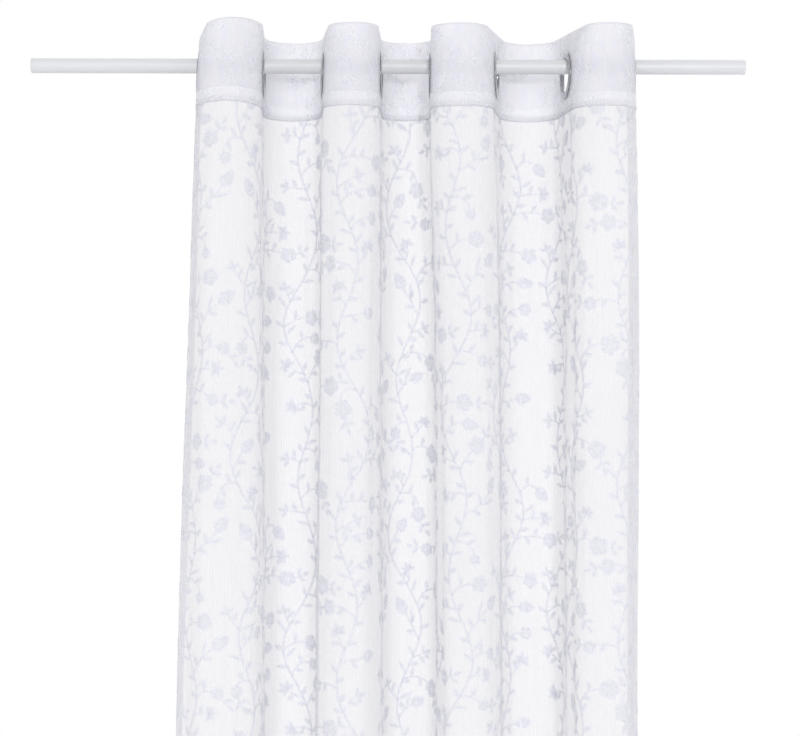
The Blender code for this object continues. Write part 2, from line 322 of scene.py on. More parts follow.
def streaks(tree, u, z, acrossScale, downScale, seed, detail=2.0):
    # noise drawn out along one way of the cloth, from -0.5 to 0.5
    place = put(tree, "ShaderNodeCombineXYZ", {
        "X": maths(tree, "MULTIPLY", u, acrossScale),
        "Y": maths(tree, "MULTIPLY", z, downScale), "Z": seed}).outputs[0]
    return maths(tree, "SUBTRACT", noise(tree, place, 1.0, detail), 0.5)


def threads(tree, along, pitch):
    # a sine for each thread, from -1 to 1
    return maths(tree, "SINE", maths(tree, "MULTIPLY", along, 2 * math.pi / pitch))


def groundWeave(tree, look, u, z, cover):
    # the warp's noise, the sines of the threads both ways, and the cover with both by their shares
    warp = streaks(tree, u, z, *look["warpNoise"])
    weave = maths(tree, "ADD", threads(tree, u, look["threadPitch"]),
                  threads(tree, z, look["threadPitch"]))
    cover = timesPlus(tree, warp, look["warpStreak"], cover)
    return warp, weave, timesPlus(tree, weave, look["threadShare"], cover)


def solidShader(tree, values):
    solid = put(tree, "ShaderNodeBsdfPrincipled", values)
    put(tree, "ShaderNodeOutputMaterial", {"Surface": solid.outputs[0]})


def sheerShader(tree, cover, colour, glow, bump, sheen=0.2, roughness=0.75):
    # cloth that lets light past between its threads: cover is how much of it is thread
    solid = put(tree, "ShaderNodeBsdfPrincipled", {
        "Base Color": colour, "Roughness": roughness, "Sheen Weight": sheen,
        "Sheen Roughness": 0.4, "Specular IOR Level": 0.25, "Normal": bump})
    through = put(tree, "ShaderNodeBsdfTranslucent", {"Color": colour, "Normal": bump})
    both = put(tree, "ShaderNodeMixShader", {0: glow, 1: solid.outputs[0], 2: through.outputs[0]})
    clear = put(tree, "ShaderNodeBsdfTransparent")
    sheer = put(tree, "ShaderNodeMixShader", {0: cover, 1: clear.outputs[0], 2: both.outputs[0]})
    put(tree, "ShaderNodeOutputMaterial", {"Surface": sheer.outputs[0]})


voileLook = {
    "white": (0.78, 0.78, 0.80, 1.0),
    "shade": (0.735, 0.735, 0.77, 1.0),
    "tintNoise": (9.0, 3.0, 9.0),
    "cover": 0.62,          # share of the ground that is thread
    "warpNoise": (760.0, 9.0, 0.0),
    "warpStreak": 0.30,     # how much it varies between bundles of warp threads
    "weftNoise": (7.0, 520.0, 4.0),
    "weftStreak": 0.05,
    "threadPitch": 0.6 * mm,
    "threadShare": 0.03,
    "sideHem": 20 * mm,
    "bottomHem": 60 * mm,
    "hemLayers": 2.6,
    "glow": 0.45,           # share of the light that goes through a thread
    "warpHeight": 0.8,
    "threadHeight": 0.25,
    "bump": (0.25, 0.3 * mm),
}


def voileMaterial():
    # in a hem, what the cover leaves open is raised to the power of the hem's layers
    look = voileLook
    material, tree = newMaterial("voileGround")
    u, z = clothPlace(tree)
    warp, weave, cover = groundWeave(tree, look, u, z, look["cover"])
    weft = streaks(tree, u, z, *look["weftNoise"])
    cover = timesPlus(tree, weft, look["weftStreak"], cover)
    atSide = maths(tree, "MAXIMUM", maths(tree, "LESS_THAN", u, look["sideHem"]),
                   maths(tree, "GREATER_THAN", u, cutWidth - look["sideHem"]))
    atHem = maths(tree, "MAXIMUM", atSide,
                  maths(tree, "LESS_THAN", z, bottom + look["bottomHem"]))
    layers = timesPlus(tree, atHem, look["hemLayers"] - 1.0, 1.0)
    gap = maths(tree, "POWER", maths(tree, "SUBTRACT", 1.0, cover), layers)
    patches = maths(tree, "ADD", streaks(tree, u, z, *look["tintNoise"]), 0.5)
    tint = mixed(tree, patches, look["white"], look["shade"])
    height = timesPlus(tree, warp, look["warpHeight"],
                       maths(tree, "MULTIPLY", weave, look["threadHeight"]))
    bump = bumped(tree, height, *look["bump"])
    sheerShader(tree, maths(tree, "SUBTRACT", 1.0, gap), tint, look["glow"], bump)
    return material


vineWeave = {
    "tintNoise": (60.0, 40.0, 5.0),
    "warpNoise": (620.0, 24.0, 2.0),
    "warpStreak": 0.16,
    "floatPitch": 0.8 * mm,     # of the slanting floats of thread
    "floatShare": 0.02,
    "floatHeight": 0.4,
    "bump": (0.3, 0.3 * mm),
    "sheen": 0.35,
    "roughness": 0.6,
}
vineLook = {
    "light": (0.885, 0.89, 0.935, 1.0),
    "deep": (0.845, 0.85, 0.90, 1.0),
    "cover": 0.64,          # of each face; the weave shows on both
    "glow": 0.42,
}
headingVineLook = {
    "light": (0.94, 0.94, 0.97, 1.0),
    "deep": (0.87, 0.87, 0.92, 1.0),
    "cover": 0.26,
    "glow": 0.30,
}


def vineMaterial(name, look):
    # cover is its mean plus the noise and the floats by their shares, all times the point's share
    material, tree = newMaterial(name)
    u, z = clothPlace(tree)
    share = put(tree, "ShaderNodeAttribute", attribute_name="weaveShare").outputs["Fac"]
    warp = streaks(tree, u, z, *vineWeave["warpNoise"])
    floats = threads(tree, maths(tree, "ADD", u, z), vineWeave["floatPitch"])
    filled = timesPlus(tree, warp, vineWeave["warpStreak"], look["cover"])
    filled = timesPlus(tree, floats, vineWeave["floatShare"], filled)
    patches = maths(tree, "ADD", streaks(tree, u, z, *vineWeave["tintNoise"]), 0.5)
    tint = mixed(tree, patches, look["light"], look["deep"])
    bump = bumped(tree, timesPlus(tree, floats, vineWeave["floatHeight"], warp), *vineWeave["bump"])
    sheerShader(tree, maths(tree, "MULTIPLY", filled, share), tint, look["glow"], bump,
                vineWeave["sheen"], vineWeave["roughness"])
    return material


headingLook = {
    "white": (0.885, 0.885, 0.90, 1.0),
    "shade": (0.83, 0.83, 0.87, 1.0),
    "softNoise": (42.0, 36.0, 7.0, 4.0),
    "softShade": (1.6, 0.45),
    "lilac": (0.845, 0.845, 0.91, 1.0),     # where the pattern of the inner layer shows
    "patchNoise": (95.0, 80.0, 3.0),
    "patchLilac": (4.0, 0.2),
    "cover": 0.76,          # of each face; both together are nearly opaque
    "warpNoise": (700.0, 14.0, 1.0),
    "warpStreak": 0.12,
    "threadPitch": 0.6 * mm,
    "threadShare": 0.015,
    "threadHeight": 0.25,
    "turnIn": 17 * mm,      # the folded-in edges along its lower edge
    "turnInCover": 0.90,
    "turnInWhite": (0.95, 0.95, 0.97, 1.0),
    "turnInTint": 0.6,
    "glow": 0.55,
    "bump": (0.35, 0.4 * mm),
}


def headingMaterial():
    # denser and whiter in the strip along its lower edge, with two clouds of colour all over
    look = headingLook
    material, tree = newMaterial("headingDoubled")
    u, z = clothPlace(tree)
    soft = streaks(tree, u, z, *look["softNoise"])
    low = maths(tree, "LESS_THAN", z, stitchLine + look["turnIn"])
    cover = timesPlus(tree, low, look["turnInCover"] - look["cover"], look["cover"])
    warp, weave, cover = groundWeave(tree, look, u, z, cover)
    tint = mixed(tree, timesPlus(tree, soft, *look["softShade"]), look["white"], look["shade"])
    patches = streaks(tree, u, z, *look["patchNoise"])
    tint = mixed(tree, timesPlus(tree, patches, *look["patchLilac"]), tint, look["lilac"])
    tint = mixed(tree, maths(tree, "MULTIPLY", low, look["turnInTint"]), tint, look["turnInWhite"])
    height = timesPlus(tree, weave, look["threadHeight"], maths(tree, "ADD", warp, soft))
    sheerShader(tree, cover, tint, look["glow"], bumped(tree, height, *look["bump"]))
    return material


threadLook = {
    "dim": (0.80, 0.80, 0.85, 1.0),
    "light": (0.92, 0.92, 0.95, 1.0),
    "plyScale": 2400.0,
    "bump": (0.3, 0.1 * mm),
    "roughness": 0.5,
    "sheen": 0.2,
}


def threadMaterial():
    look = threadLook
    material, tree = newMaterial("sewingThread")
    ply = noise(tree, objectPlace(tree), look["plyScale"], 1.0)
    solidShader(tree, {"Base Color": mixed(tree, ply, look["dim"], look["light"]),
                       "Roughness": look["roughness"], "Sheen Weight": look["sheen"],
                       "Normal": bumped(tree, ply, *look["bump"])})
    return material


eyeletLook = {
    "bright": (0.50, 0.50, 0.515, 1.0),
    "dull": (0.38, 0.38, 0.395, 1.0),
    "cloudScale": 220.0,
    "fineScale": 2600.0,
    "roughness": (0.14, 0.18),
    "bump": (0.06, 0.1 * mm),
}


def eyeletMaterial():
    look = eyeletLook
    material, tree = newMaterial("nickelPlate")
    place = objectPlace(tree)
    clouds = noise(tree, place, look["cloudScale"], 3.0)
    fine = noise(tree, place, look["fineScale"], 2.0)
    solidShader(tree, {"Base Color": mixed(tree, clouds, look["bright"], look["dull"]),
                       "Metallic": 1.0, "Roughness": timesPlus(tree, fine, *look["roughness"]),
                       "Normal": bumped(tree, fine, *look["bump"])})
    return material


rodLook = {
    "light": (0.66, 0.67, 0.69, 1.0),
    "worn": (0.59, 0.60, 0.62, 1.0),
    "drawnScale": (14.0, 420.0, 420.0),
    "wornShare": (0.9, -0.15),
    "peelScale": 900.0,
    "roughness": (0.16, 0.36),
    "coat": 0.2,
    "coatRoughness": 0.4,
    "bump": (0.08, 0.2 * mm),
    "radius": 9.0 * mm,
    "sides": 96,
    "rings": 38,
    "edgeRound": 0.8 * mm,
    "edgeSteps": 5,
    "faceRings": (0.6, 0.3),        # of the end faces, as shares of the radius
    "sharp": 40,                    # degrees
}


def rodMaterial():
    look = rodLook
    material, tree = newMaterial("paintedSteel")
    place = objectPlace(tree)
    drawn = put(tree, "ShaderNodeMapping", {"Vector": place, "Scale": look["drawnScale"]})
    lines = noise(tree, drawn.outputs[0], 1.0, 3.0)
    peel = noise(tree, place, look["peelScale"], 2.0)
    worn = timesPlus(tree, lines, *look["wornShare"])
    rough = timesPlus(tree, lines, *look["roughness"])
    solidShader(tree, {"Base Color": mixed(tree, worn, look["light"], look["worn"]),
                       "Roughness": rough, "Coat Weight": look["coat"],
                       "Coat Roughness": look["coatRoughness"],
                       "Normal": bumped(tree, peel, *look["bump"])})
    return material


# Camera, room and light

cameraLook = {
    "place": (15.1 * mm, -2.12, -364.8 * mm),   # level, about two metres off
    "roll": 0.14,                               # degrees
    "lens": 78.84,
}


def addCamera():
    look = cameraLook
    data = bpy.data.cameras.new("camera")
    data.lens = look["lens"]
    camera = bpy.data.objects.new("camera", data)
    camera.location = look["place"]
    camera.rotation_euler = (math.radians(90), math.radians(-look["roll"]), 0.0)
    bpy.context.scene.collection.objects.link(camera)
    bpy.context.scene.camera = camera


roomLook = {
    "seen": 1.0,            # brightness of the plain white around the curtain
    "ambient": 0.55,        # and of its light on the cloth
    "floorColour": (0.95, 0.95, 0.955, 1.0),
    "floorNoise": (3.0, 4.0),       # scale and detail
    "floorRoughness": (0.2, 0.6),
    "floorBelow": 16 * mm,
    "floorRadius": 6.5,
    "floorSides": 96,
    "sunAway": 3.0,
}

suns = (
    # name, degrees to the right of the camera's side, degrees up, angle across, strength
    ("keySun", 8.0, 0.5, 4.0, 1.0),
    ("secondSun", 2.0, 10.6, 5.0, 0.35),
    ("leftSun", -70.0, 10.0, 60.0, 0.5),
    ("rightSun", 70.0, 10.0, 60.0, 0.5),
    ("backSun", 160.0, 20.0, 90.0, 1.95),
    ("topSun", 0.0, 78.0, 60.0, 0.35),
)


def ringOf(sides):
    # angles evenly round a circle
    return np.linspace(0, 2 * math.pi, sides, endpoint=False)


def addRoom():
    # a white world, brighter to the camera than to the cloth, a pale floor and soft suns
    look = roomLook
    world = bpy.data.worlds.new("whiteRoom")
    world.use_nodes = True
    bpy.context.scene.world = world
    tree = world.node_tree
    tree.nodes.clear()
    path = put(tree, "ShaderNodeLightPath")
    strength = timesPlus(tree, path.outputs["Is Camera Ray"], look["seen"] - look["ambient"],
                         look["ambient"])
    glow = put(tree, "ShaderNodeBackground", {"Color": (1.0, 1.0, 1.0, 1.0), "Strength": strength})
    put(tree, "ShaderNodeOutputWorld", {"Surface": glow.outputs[0]})
    bpy.context.scene.view_settings.view_transform = "Standard"

    material, tree = newMaterial("paleFloor")
    clouds = noise(tree, objectPlace(tree), *look["floorNoise"])
    solidShader(tree, {"Base Color": look["floorColour"],
                       "Roughness": timesPlus(tree, clouds, *look["floorRoughness"])})
    turn = ringOf(look["floorSides"])
    ring = np.stack((np.cos(turn), np.sin(turn), 0 * turn), 1) * look["floorRadius"]
    points = np.concatenate(([[0.0, 0.0, 0.0]], ring)) + (0.0, 0.0, bottom - look["floorBelow"])
    meshPiece("floor", points, fanFaces(0, 1 + np.arange(len(ring))), material)

    for name, right, up, spread, strength in suns:
        data = bpy.data.lights.new(name, "SUN")
        data.energy = strength
        data.angle = math.radians(spread)
        lamp = bpy.data.objects.new(name, data)
        right, up = math.radians(right), math.radians(up)
        source = Vector((math.sin(right) * math.cos(up), -math.cos(right) * math.cos(up),
                         math.sin(up)))
        lamp.rotation_euler = source.to_track_quat("Z", "Y").to_euler()
        lamp.location = look["sunAway"] * source
        bpy.context.scene.collection.objects.link(lamp)


def finished(piece, slot, *nodes):
    # every piece rides the one body; a piece with nodes stands for those solids
    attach(piece, "root")
    if nodes:
        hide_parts(*nodes)
    return piece


# Rod

def addRod():
    # a turned tube: its ends' edges are quarter rounds and its end faces close on the axis
    look = rodLook
    low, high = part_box("rod")
    half, edge, radius = 0.5 * (high.x - low.x), look["edgeRound"], look["radius"]
    bend = np.linspace(0, math.pi / 2, look["edgeSteps"])
    faceR = np.array(look["faceRings"]) * radius
    x = np.concatenate((half - edge + edge * np.sin(bend), np.full(len(faceR), half)))
    r = np.concatenate((radius - edge + edge * np.cos(bend), faceR))
    straight = np.linspace(-half + edge, half - edge, look["rings"] + 2)[1:-1]
    x = np.concatenate((-x[::-1], straight, x))
    r = np.concatenate((r[::-1], np.full(len(straight), radius), r))
    turn = ringOf(look["sides"])
    points = np.stack(np.broadcast_arrays(x[:, None], r[:, None] * np.sin(turn),
                                          r[:, None] * np.cos(turn)), -1).reshape(-1, 3)
    side = gridFaces(len(x), len(turn), closed=True)[:, ::-1]
    here, count = np.arange(len(turn)), len(points)
    faces = np.concatenate((side, fanFaces(count, here),
                            fanFaces(count + 1, (count - len(turn) + here)[::-1])))
    points = np.concatenate((points, [[-half, 0, 0], [half, 0, 0]]))
    rod = meshPiece("rodTube", points, faces, rodMaterial())
    rod.data.set_sharp_from_angle(angle=math.radians(look["sharp"]))
    finished(rod, "rod_paint", "rod")


# Eyelets

ringLook = {
    "holeRadius": 20.0 * mm,
    "rimRadius": 28.5 * mm,
    "halfDepth": 2.8 * mm,
    "barrelWall": 1.2 * mm,
    "slotHalf": 1.3 * mm,   # half the slot that the heading sits in
    "lip": 2.4 * mm,
    "domeFall": 0.75 * mm,
    "domePower": 2.2,
    "roll": 0.35 * mm,
    "groove": 0.35 * mm,    # where the washer meets the barrel on the back
    "grooveRadius": 23.4 * mm,
    "grooveWidth": 0.5 * mm,
    "lipSteps": 7,
    "domeSteps": 8,
    "rollSteps": 5,
    "steps": 96,
}


def ringProfile():
    # half section (radius, height) going round: a lip rolled out of the barrel, a low dome, a
    # rolled rim, the flat underside and the barrel's outside; the back has a washer's groove
    look = ringLook
    quarter = np.linspace(math.pi, math.pi / 2, look["lipSteps"])
    lipR = look["holeRadius"] + look["lip"] * (1 + np.cos(quarter))
    lipH = look["halfDepth"] - look["lip"] * (1 - np.sin(quarter))
    s = np.linspace(0, 1, look["domeSteps"] + 1)[1:]
    rimTop = look["halfDepth"] - look["domeFall"]
    domeR = lipR[-1] + s * (look["rimRadius"] - look["roll"] - lipR[-1])
    domeH = look["halfDepth"] - look["domeFall"] * s ** look["domePower"]
    half = np.linspace(math.pi / 2, -math.pi / 2, look["rollSteps"] + 1)[1:]
    rollHalf = 0.5 * (rimTop - look["slotHalf"])
    rollR = look["rimRadius"] - look["roll"] + look["roll"] * np.cos(half)
    rollH = look["slotHalf"] + rollHalf * (1 + np.sin(half))
    front = np.stack((
        np.concatenate((lipR, domeR, rollR, [look["holeRadius"] + look["barrelWall"]])),
        np.concatenate((lipH, domeH, rollH, [look["slotHalf"]]))), 1)
    back = front[::-1] * (1, -1)
    dip = np.exp(-((back[:, 0] - look["grooveRadius"]) / look["grooveWidth"]) ** 2)
    back[:, 1] += look["groove"] * dip * (back[:, 1] < -look["slotHalf"])
    return np.concatenate((front, back))


def eyeletAxes(k):
    # square to the flat wall of cloth that holds it: along the cloth, up it, and out of it
    slope = (across[k][rimLevel] - across[k][stitchLevel]) / (rim - stitchLine)
    side = -1.0 if k % 2 == 0 else 1.0
    a = lean[k][rimLevel]
    along = np.array((math.sin(a), side * math.cos(a), 0.0))
    axis = np.cross(along, (slope, 0.0, 1.0))
    axis /= np.linalg.norm(axis)
    return along, np.cross(axis, along), axis


def addEyelets():
    # the profile turned about each eyelet's axis; the last section joins the first
    material = eyeletMaterial()
    profile = ringProfile()
    turn = ringOf(ringLook["steps"])[:, None]
    faces = gridFaces(len(turn) + 1, len(profile), closed=True) % (len(turn) * len(profile))
    rings = []
    for k in range(len(across)):
        low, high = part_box(f"eyelet_{k + 1}")
        along, upright, axis = eyeletAxes(k)
        spoke = np.cos(turn)[:, :, None] * along + np.sin(turn)[:, :, None] * upright
        points = profile[:, :1] * spoke + profile[:, 1:] * axis + np.array((low + high) / 2)
        ring = meshPiece(f"eyeletRing{k + 1}", points.reshape(-1, 3), faces, material)
        rings.append(finished(ring, "eyelet_metal", f"eyelet_{k + 1}"))
    return rings


# Heading

bandLook = {
    "cell": 3.0 * mm,
    "reach": 30.0 * mm,     # half the square of cells that turns into a round hole
    "holeCells": 7,
    "holeRadius": 21.6 * mm,
    "thickness": 1.6 * mm,
}


def ringCentre(k):
    low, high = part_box(f"eyelet_{k + 1}")
    return eyeletAt[k], 0.5 * (low.z + high.z)


def awayFromRings(places, gap):
    # which places on the cloth lie farther than the gap from every eyelet's centre
    return np.all([np.hypot(*(places - ringCentre(k)).T) > gap for k in range(len(across))], 0)


def stops(edges, cell):
    # evenly spaced values between each pair of edges, about a cell apart
    runs = [np.linspace(a, b, max(2, round((b - a) / cell) + 1))[:-1]
            for a, b in zip(edges, edges[1:])]
    return np.concatenate(runs + [[edges[-1]]])


def addHeading():
    # a grid of square cells; round each eyelet its square rings turn into circles towards the
    # hole, and the cells inside the hole are left out
    look = bandLook
    centreZ = np.mean([ringCentre(k)[1] for k in range(len(across))])
    edges = [at + way * look["reach"] for at in eyeletAt for way in (-1, 1)]
    uStops = stops([0.0, *edges, cutWidth], look["cell"])
    edges = [stitchLine, centreZ - look["reach"], centreZ + look["reach"], top]
    zStops = stops(edges, look["cell"])
    u, z = [side.copy() for side in np.meshgrid(uStops, zStops)]
    hole = look["holeCells"] * look["cell"]
    inHole = np.zeros((len(zStops) - 1, len(uStops) - 1), bool)
    midU, midZ = 0.5 * (uStops[1:] + uStops[:-1]), 0.5 * (zStops[1:] + zStops[:-1])
    for k in range(len(across)):
        atU, atZ = ringCentre(k)
        du, dz = u - atU, z - centreZ
        square = np.maximum(np.abs(du), np.abs(dz))
        fade = np.clip((square - hole) / (look["reach"] - hole), 0.0, 1.0)
        near = square < look["reach"] - tiny
        toRound = square / np.maximum(np.hypot(du, dz), tiny) * look["holeRadius"] / hole
        part = np.where(near, toRound * (1 - fade) + fade, 1.0)
        u = np.where(near, atU + du * part, u)
        z = np.where(near, centreZ + dz * part + (atZ - centreZ) * (1 - fade), z)
        inHole |= (np.abs(midU - atU) < hole) & (np.abs(midZ - centreZ) < hole)[:, None]
    faces = gridFaces(len(zStops), len(uStops))[~np.tile(inHole.ravel(), 2)]
    used, faces = np.unique(faces, return_inverse=True)
    u, z = u.ravel()[used], z.ravel()[used]
    band = meshPiece("headingBand", flatCloth(u, z), faces.reshape(-1, 3), headingMaterial(),
                     uv=np.stack((u, z), 1))
    thick = band.modifiers.new("thickness", "SOLIDIFY")
    thick.thickness = look["thickness"]
    thick.offset = 0.0
    thick.use_even_offset = True
    return finished(band, "heading_cloth", "heading")


# Voile panel

panelLook = {
    "tuckedIn": 7.0 * mm,   # how far it runs up inside the heading
    "columns": 461,
    "upperRows": 118,       # down to just below the photo's lower edge
    "lowerRows": 90,
    "upperEnd": -880 * mm,
}


def addPanel():
    # one row of points across the folded cloth for each height, closer together near the top
    look = panelLook
    u = np.linspace(0, cutWidth, look["columns"])
    lower = np.linspace(bottom, look["upperEnd"], look["lowerRows"])[:-1]
    upper = np.linspace(look["upperEnd"], stitchLine + look["tuckedIn"], look["upperRows"])
    rows = np.concatenate((lower, upper))
    faces = gridFaces(len(rows), len(u))
    u, z = [side.ravel() for side in np.meshgrid(u, rows)]
    panel = meshPiece("voilePanel", flatCloth(u, z), faces, voileMaterial(),
                      uv=np.stack((u, z), 1))
    return finished(panel, "voile", "panel")


# Vines: a repeat of three climbing stems, grown flat in millimetres and then laid on the cloth.
# Each next column of it starts higher by the drop, so the folds don't all show the same part.

vineRepeat = {
    "width": 246.0,
    "height": 404.0,
    "drop": 151.0,
    "vines": 3,
    "stemPoints": 109,
    "sway": (17.0, 0.55),           # how far, and the step from stem to stem (radians)
    "slowSway": (9.0, -0.8, 0.7),   # the same, and where the first stem starts
    "branches": 15,         # on each vine
    "mainStem": 2.8,
    "branch": 2.3,
    "taper": (1.15, 0.85),
    "stride": 3.4,
    "scatter": 0.45,        # of a branch along the stem, as a share of their spacing
    "tries": 90,
    "goodRoom": 2.2,        # a try with this much room is taken at once
    "leastRoom": 0.7,
    "kindStep": 4,          # along the order of kinds, from one vine to the next
    "longBranch": 9,        # strides; a longer one has two leaves on it, at these shares of it
    "leavesAt": ((0.5,), (0.3, 0.62)),
    "firstLeaf": 4,         # on a main stem, and the step to the next, in points of it
    "leafStep": 3,
    "seed": 23,
    "raised": 0.3 * mm,
    "raisedOnBand": 0.12 * mm,
    "edge": 1.5 * mm,       # kept clear along the cut edges
    "ringGap": 26 * mm,     # kept clear round an eyelet's centre
}

# What a branch ends in. Each is drawn at random between the pairs: its length, its splay from
# the stem, its bend over its length and the size of what it carries (mm, degrees).
branchKinds = {
    "blossom": ((24, 44), (28, 55), (20, 140), (10.0, 12.5)),
    "small": ((18, 38), (30, 58), (20, 130), (7.0, 8.8)),
    "bud": ((22, 42), (32, 60), (-70, 120), (20.0, 25.0)),
    "sprig": ((12, 30), (38, 66), (-60, 70), (11.5, 14.0)),
}
# the room round what it carries, as a share of its size
branchRoom = {"blossom": 1.0, "small": 1.0, "bud": 0.5, "sprig": 0.8}
branchOrder = ("blossom", "sprig", "bud", "blossom", "sprig", "small", "bud", "sprig", "blossom",
               "sprig", "small", "bud", "sprig")
petals = {"blossom": 5, "small": 6}
budWidth = 0.66             # of its length
# the angles of a sprig's leaves (degrees), three and five by turns
sprigFans = ((-62, -6, 50), (-80, -36, 8, 54, 98))
sprigLeaf = {
    "width": 0.40,          # of the sprig's size
    "goneAt": 400,          # the angle at which its length would come to nothing
    "curl": 0.002,          # for each degree
}
# Leaves by where they grow: length and width (mm), splay (radians), curl to the side they grow
# on, and the room that they need (mm).
leafKinds = {
    "bud": (25.0, 4.2, 0.55, -0.10, 1.0),
    "twig": (12.0, 5.0, 0.95, 0.0, 0.4),
    "branch": (13.0, 5.6, 0.9, 0.14, 1.6),
    "stem": (14.0, 5.6, 0.8, 0.12, 2.6),
    "longStem": (20.0, 4.4, 0.8, 0.12, 2.6),
}
# the twig that goes on past a blossom (mm, radians)
twigLook = {
    "leans": (0.0, 0.5, -0.5),      # tried in turn
    "outward": 1.3,         # the lean of its end, in leans of its start
    "bend": (0.3, 0.15),    # so much of its lean, plus so much
    "length": 11.0,
    "ahead": 12.0,          # its end and a point this far past it must have the room
    "room": 4.5,
    "width": 0.8,           # of a branch's
}


def turned(x, y, base, heading):
    # x ahead and y to the left of a heading, from a base point
    c, s = math.cos(heading), math.sin(heading)
    return np.stack((base[0] + x * c - y * s, base[1] + x * s + y * c), -1).reshape(-1, 2)


def leafShape(fine, base, heading, length, width, curl):
    # almond on a stalk: half width goes as a sine past the stalk, and the midrib bends with the
    # square of the length
    stalk, fullness, stalkHalf, tipHalf, midribThinner = 0.14, 0.85, 0.45, 0.03, 0.18
    rows, t = (8, np.array((1.0, 0.0, -1.0))) if fine else (6, np.array((1.0, -1.0)))
    s = np.linspace(0, 1, rows)[:, None]
    blade = np.clip((s - stalk) / (1 - stalk), 0.0, 1.0)
    half = 0.5 * width * np.sin(math.pi * blade ** fullness) ** fullness
    half = half + stalkHalf * (1 - s) + tipHalf
    points = turned(s * length + 0 * t, half * t + curl * length * s ** 2, base, heading)
    share = np.broadcast_to(1 - midribThinner * (t == 0), (rows, len(t))).ravel()
    return points, gridFaces(rows, len(t)), share


def budShape(fine, base, heading, length, width):
    # egg with a point: a sine of the length drawn towards the base, thinner across its cup line
    drawn, fullness, narrower, cupAt, cupThinner = 0.74, 0.6, 0.22, 0.33, 0.35
    rows, columns = (12, 5) if fine else (8, 4)
    s = np.linspace(0, 1, rows)[:, None]
    t = np.linspace(1, -1, columns)
    half = 0.56 * width * np.sin(math.pi * s ** drawn) ** fullness * (1 - narrower * s) + 0.02
    share = np.broadcast_to(1 - cupThinner * (np.abs(s - cupAt) < 0.05), (rows, columns)).ravel()
    return turned(s * length + 0 * t, half * t, base, heading), gridFaces(rows, columns), share


def blossomShape(fine, base, heading, radius, petalCount):
    # round petals: the reach is a power of a cosine with one swing a petal; the eye and the
    # lines between petals are thinner
    heart, petalReach, uneven = 0.80, 0.20, 0.05
    around, rings = (6 * petalCount, 3) if fine else (4 * petalCount, 2)
    turn = ringOf(around)
    swing = np.abs(np.cos(0.5 * petalCount * turn))
    reach = radius * (heart + petalReach * swing ** 0.8 + uneven * np.sin(turn))
    part = np.linspace(0, 1, rings + 1)[1:, None]
    x, y = part * reach * np.cos(turn), part * reach * np.sin(turn)
    points = np.concatenate(([base], turned(x, y, base, heading)))
    faces = np.concatenate((fanFaces(0, 1 + np.arange(around)),
                            1 + gridFaces(rings, around, closed=True)[:, ::-1]))
    lineThinner, eyeThinner, eyeShare = 0.3, 0.2, 0.6
    share = 1 - lineThinner * (swing < 0.3) * (part > 0.5) - eyeThinner * (part < 0.4)
    return points, faces, np.concatenate(([eyeShare], share.ravel()))


def stemShape(fine, path, widths):
    # a ribbon along a path
    if not fine:
        path, widths = [np.concatenate((side[:-1:2], side[-1:])) for side in (path, widths)]
    along = np.gradient(path, axis=0)
    along /= np.linalg.norm(along, axis=1)[:, None]
    beside = np.stack((-along[:, 1], along[:, 0]), 1) * widths[:, None] / 2
    points = np.stack((path + beside, path - beside), 1).reshape(-1, 2)
    return points, gridFaces(len(path), 2), np.full(len(points), 0.95)


def mainStem(vine, t):
    # climbs with two sways a repeat and a slower one, each nearly in step with its neighbours'
    look = vineRepeat
    sway, step = look["sway"]
    slowSway, slowStep, slowStart = look["slowSway"]
    x = look["width"] * (vine + 0.5) / look["vines"] \
        + sway * np.sin(4 * math.pi * t + step * vine) \
        + slowSway * np.sin(2 * math.pi * t + slowStep * vine + slowStart)
    return np.stack((x, look["height"] * t), -1)


def clearance(points, spots):
    # the least gap from the points to the round spots (x, y, radius) of the repeat and its copies
    gap = np.reshape(points, (-1, 1, 2)) - spots[None, :, :2]
    over = np.round(gap[..., 0] / vineRepeat["width"])
    sideways = gap[..., 0] - over * vineRepeat["width"]
    up = gap[..., 1] - over * vineRepeat["drop"]
    up -= np.round(up / vineRepeat["height"]) * vineRepeat["height"]
    return (np.hypot(sideways, up) - spots[None, :, 2]).min()


def pathFrom(base, heading, bend, length):
    # a path in short strides that turns by the bend over its length, with its heading at each
    steps = max(5, round(length / vineRepeat["stride"]))
    headings = heading + bend * np.linspace(0, 1, steps) ** 1.1
    middle = 0.5 * (headings[1:] + headings[:-1])
    strides = length / (steps - 1) * np.stack((np.cos(middle), np.sin(middle)), 1)
    return base + np.concatenate((np.zeros((1, 2)), np.cumsum(strides, 0))), headings


def ahead(heading):
    return np.array((math.cos(heading), math.sin(heading)))


def headingOf(start, end):
    return math.atan2(*(end - start)[::-1])


